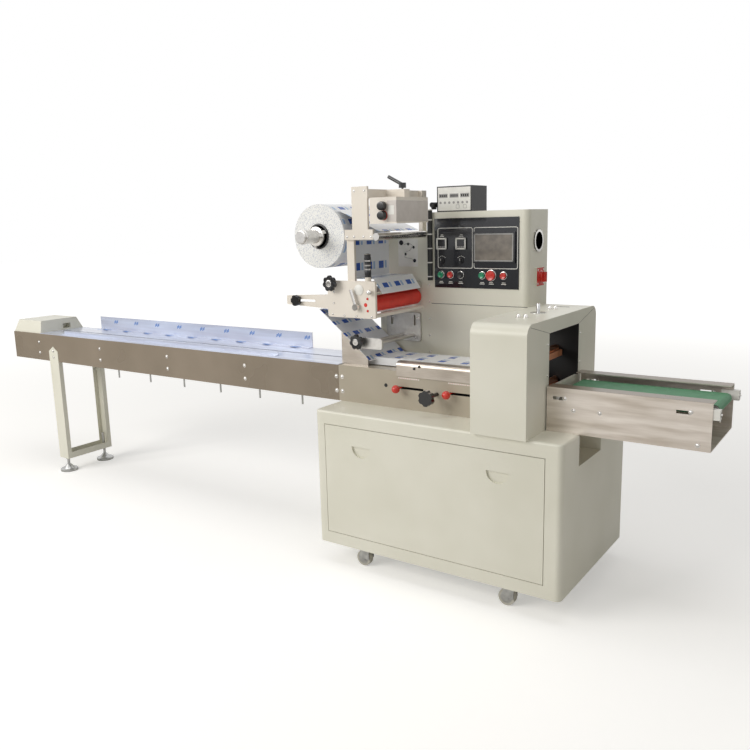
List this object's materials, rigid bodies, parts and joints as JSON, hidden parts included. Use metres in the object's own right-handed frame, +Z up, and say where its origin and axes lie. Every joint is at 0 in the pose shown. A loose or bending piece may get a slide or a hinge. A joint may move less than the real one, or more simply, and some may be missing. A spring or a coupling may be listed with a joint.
{
  "type": "horizontal flow wrapper",
  "caption": "Floor-standing horizontal flow wrapping machine: long finger-chain infeed, film unit over a forming plough, end sealer under a cover, belt discharge and a control tower.",
  "frame": {"origin": "on the floor under the middle of the whole machine's outline", "axes": "+X the way the product travels, towards the discharge; +Y to the back of the machine; +Z up"},
  "size_m": [4.042, 0.718, 1.6178],
  "materials": {
    "cream_enamel": "satin",
    "grey_brown_enamel": "satin",
    "brushed_stainless": "brushed",
    "polished_stainless": "polished",
    "machined_aluminium": "machined",
    "oiled_steel": "oiled",
    "zinc_steel": "zinc plated",
    "chromed_steel": "polished",
    "green_belt": "matt",
    "red_rubber": "satin",
    "black_rubber": "matt",
    "printed_film": "gloss",
    "white_film": "gloss",
    "black_plastic": "gloss",
    "red_plastic": "gloss",
    "green_plastic": "gloss",
    "dark_panel": "satin",
    "copper_steel": "machined"
  },
  "bodies": {
    "machine_frame": {"belt_rollers": "zinc_steel", "cabinet_body": "cream_enamel", "cabinet_front_panel": "cream_enamel", "chain_sprockets": "oiled_steel", "coder_bracket": "cream_enamel", "coder_unit": "cream_enamel", "control_box": "cream_enamel", "control_panel": "dark_panel", "counter_box": "cream_enamel", "deck_frame": "cream_enamel", "discharge_belt": "green_belt", "discharge_side_plates": "brushed_stainless", "end_seal_housing": "cream_enamel", "feed_unit_frame": "cream_enamel", "film_wall": "cream_enamel", "film_web": "printed_film", "fin_seal_unit": "machined_aluminium", "forming_plough": "polished_stainless", "guide_rails": "polished_stainless", "heater_bar_cover": "brushed_stainless", "infeed_side_plates": "grey_brown_enamel", "infeed_table_plates": "polished_stainless", "leg_frame": "cream_enamel", "levelling_feet": "zinc_steel", "pusher_chain": "oiled_steel", "tail_cover": "brushed_stainless", "tower_column": "cream_enamel", "wiring_loom": "black_plastic"},
    "film_reel": {"film_reel": "white_film"},
    "feed_roller": {"feed_roller": "red_rubber"},
    "nip_roller": {"nip_roller": "chromed_steel"},
    "guide_roller": {"guide_roller": "chromed_steel"},
    "upper_handwheel": {"upper_handwheel": "black_plastic"},
    "lower_handwheel": {"lower_handwheel": "black_plastic"},
    "star_knob": {"star_knob": "black_plastic"},
    "lobed_knob": {"lobed_knob": "black_plastic"},
    "ball_lever_1": {"ball_lever_1": "red_plastic"},
    "ball_lever_2": {"ball_lever_2": "red_plastic"},
    "crank_lever": {"crank_lever": "chromed_steel"},
    "coder_clamp_lever": {"coder_clamp_lever": "black_plastic"},
    "main_switch": {"main_switch": "red_plastic"},
    "start_button": {"start_button": "green_plastic"},
    "stop_button": {"stop_button": "red_plastic"},
    "reset_button": {"reset_button": "black_plastic"},
    "jog_button": {"jog_button": "green_plastic"},
    "run_button": {"run_button": "red_plastic"},
    "emergency_stop": {"emergency_stop": "red_plastic"},
    "selector_switch_1": {"selector_switch_1": "black_plastic"},
    "selector_switch_2": {"selector_switch_2": "black_plastic"},
    "upper_sealing_jaw": {"upper_sealing_jaw": "copper_steel"},
    "lower_sealing_jaw": {"lower_sealing_jaw": "copper_steel"},
    "caster_fork_1": {"caster_fork_1": "zinc_steel"},
    "caster_wheel_1": {"caster_wheel_1": "black_rubber"},
    "caster_fork_2": {"caster_fork_2": "zinc_steel"},
    "caster_wheel_2": {"caster_wheel_2": "black_rubber"},
    "caster_fork_3": {"caster_fork_3": "zinc_steel"},
    "caster_wheel_3": {"caster_wheel_3": "black_rubber"},
    "caster_fork_4": {"caster_fork_4": "zinc_steel"},
    "caster_wheel_4": {"caster_wheel_4": "black_rubber"}
  },
  "joints": [
    {"name": "film_reel_turn", "type": "hinge", "parent": "machine_frame", "child": "film_reel", "pos_m": [0.445, -0.066, 1.381], "axis": [0, 1, 0], "continuous": true},
    {"name": "feed_roller_turn", "type": "hinge", "parent": "machine_frame", "child": "feed_roller", "pos_m": [0.687, -0.049, 1.107], "axis": [0, 1, 0], "continuous": true},
    {"name": "nip_roller_turn", "type": "hinge", "parent": "machine_frame", "child": "nip_roller", "pos_m": [0.704, -0.049, 1.15825], "axis": [0, 1, 0], "continuous": true},
    {"name": "guide_roller_turn", "type": "hinge", "parent": "machine_frame", "child": "guide_roller", "pos_m": [0.745, -0.049, 1.377], "axis": [0, 1, 0], "continuous": true},
    {"name": "upper_handwheel_turn", "type": "hinge", "parent": "machine_frame", "child": "upper_handwheel", "pos_m": [0.528, -0.25, 1.192], "axis": [0, 1, 0], "continuous": true},
    {"name": "lower_handwheel_turn", "type": "hinge", "parent": "machine_frame", "child": "lower_handwheel", "pos_m": [0.589, -0.16, 0.941], "axis": [0, 1, 0], "continuous": true},
    {"name": "star_knob_turn", "type": "hinge", "parent": "machine_frame", "child": "star_knob", "pos_m": [0.333, -0.241, 1.114], "axis": [0, 1, 0], "continuous": true},
    {"name": "lobed_knob_turn", "type": "hinge", "parent": "machine_frame", "child": "lobed_knob", "pos_m": [0.967, -0.161, 0.753], "axis": [0, 1, 0], "continuous": true},
    {"name": "ball_lever_1_slide", "type": "slide", "parent": "machine_frame", "child": "ball_lever_1", "axis": [1, 0, 0], "range_m": [0, 0.1]},
    {"name": "ball_lever_2_slide", "type": "slide", "parent": "machine_frame", "child": "ball_lever_2", "axis": [1, 0, 0], "range_m": [0, 0.1]},
    {"name": "crank_lever_swing", "type": "hinge", "parent": "machine_frame", "child": "crank_lever", "pos_m": [0.649, -0.241, 1.098], "axis": [0, 1, 0], "range_deg": [-40, 40]},
    {"name": "coder_clamp_lever_swing", "type": "hinge", "parent": "machine_frame", "child": "coder_clamp_lever", "pos_m": [0.777, -0.091, 1.57], "axis": [0, 0, 1], "range_deg": [-50, 50]},
    {"name": "main_switch_turn", "type": "hinge", "parent": "machine_frame", "child": "main_switch", "pos_m": [1.226, 0.249, 1.196], "axis": [1, 0, 0], "range_deg": [0, 90]},
    {"name": "start_button_press", "type": "slide", "parent": "machine_frame", "child": "start_button", "axis": [0, 1, 0], "range_m": [0, 0.003], "stiffness_N_per_m": 1200},
    {"name": "stop_button_press", "type": "slide", "parent": "machine_frame", "child": "stop_button", "axis": [0, 1, 0], "range_m": [0, 0.003], "stiffness_N_per_m": 1200},
    {"name": "reset_button_press", "type": "slide", "parent": "machine_frame", "child": "reset_button", "axis": [0, 1, 0], "range_m": [0, 0.003], "stiffness_N_per_m": 1200},
    {"name": "jog_button_press", "type": "slide", "parent": "machine_frame", "child": "jog_button", "axis": [0, 1, 0], "range_m": [0, 0.003], "stiffness_N_per_m": 1200},
    {"name": "run_button_press", "type": "slide", "parent": "machine_frame", "child": "run_button", "axis": [0, 1, 0], "range_m": [0, 0.003], "stiffness_N_per_m": 1200},
    {"name": "emergency_stop_press", "type": "slide", "parent": "machine_frame", "child": "emergency_stop", "axis": [0, 1, 0], "range_m": [0, 0.003], "stiffness_N_per_m": 1200},
    {"name": "selector_switch_1_turn", "type": "hinge", "parent": "machine_frame", "child": "selector_switch_1", "pos_m": [0.825, 0.139, 1.264], "axis": [0, 1, 0], "range_deg": [-45, 45]},
    {"name": "selector_switch_2_turn", "type": "hinge", "parent": "machine_frame", "child": "selector_switch_2", "pos_m": [0.917, 0.139, 1.264], "axis": [0, 1, 0], "range_deg": [-45, 45]},
    {"name": "upper_jaw_turn", "type": "hinge", "parent": "machine_frame", "child": "upper_sealing_jaw", "pos_m": [1.326, -0.01, 0.917], "axis": [0, 1, 0], "continuous": true},
    {"name": "lower_jaw_turn", "type": "hinge", "parent": "machine_frame", "child": "lower_sealing_jaw", "pos_m": [1.326, -0.01, 0.787], "axis": [0, 1, 0], "continuous": true},
    {"name": "caster_1_swivel", "type": "hinge", "parent": "machine_frame", "child": "caster_fork_1", "pos_m": [0.693, -0.275, 0.095], "axis": [0, 0, 1], "continuous": true},
    {"name": "caster_1_roll", "type": "hinge", "parent": "caster_fork_1", "child": "caster_wheel_1", "pos_m": [0.673, -0.275, 0.033], "axis": [0, 1, 0], "continuous": true},
    {"name": "caster_2_swivel", "type": "hinge", "parent": "machine_frame", "child": "caster_fork_2", "pos_m": [1.353, -0.275, 0.095], "axis": [0, 0, 1], "continuous": true},
    {"name": "caster_2_roll", "type": "hinge", "parent": "caster_fork_2", "child": "caster_wheel_2", "pos_m": [1.333, -0.275, 0.033], "axis": [0, 1, 0], "continuous": true},
    {"name": "caster_3_swivel", "type": "hinge", "parent": "machine_frame", "child": "caster_fork_3", "pos_m": [0.693, 0.293, 0.095], "axis": [0, 0, 1], "continuous": true},
    {"name": "caster_3_roll", "type": "hinge", "parent": "caster_fork_3", "child": "caster_wheel_3", "pos_m": [0.673, 0.293, 0.033], "axis": [0, 1, 0], "continuous": true},
    {"name": "caster_4_swivel", "type": "hinge", "parent": "machine_frame", "child": "caster_fork_4", "pos_m": [1.353, 0.293, 0.095], "axis": [0, 0, 1], "continuous": true},
    {"name": "caster_4_roll", "type": "hinge", "parent": "caster_fork_4", "child": "caster_wheel_4", "pos_m": [1.333, 0.293, 0.033], "axis": [0, 1, 0], "continuous": true}
  ],
  "couplings": [
    {"joint": "nip_roller_turn", "follows": "feed_roller_turn", "ratio": -1.65},
    {"joint": "lower_jaw_turn", "follows": "upper_jaw_turn", "ratio": -1}
  ]
}
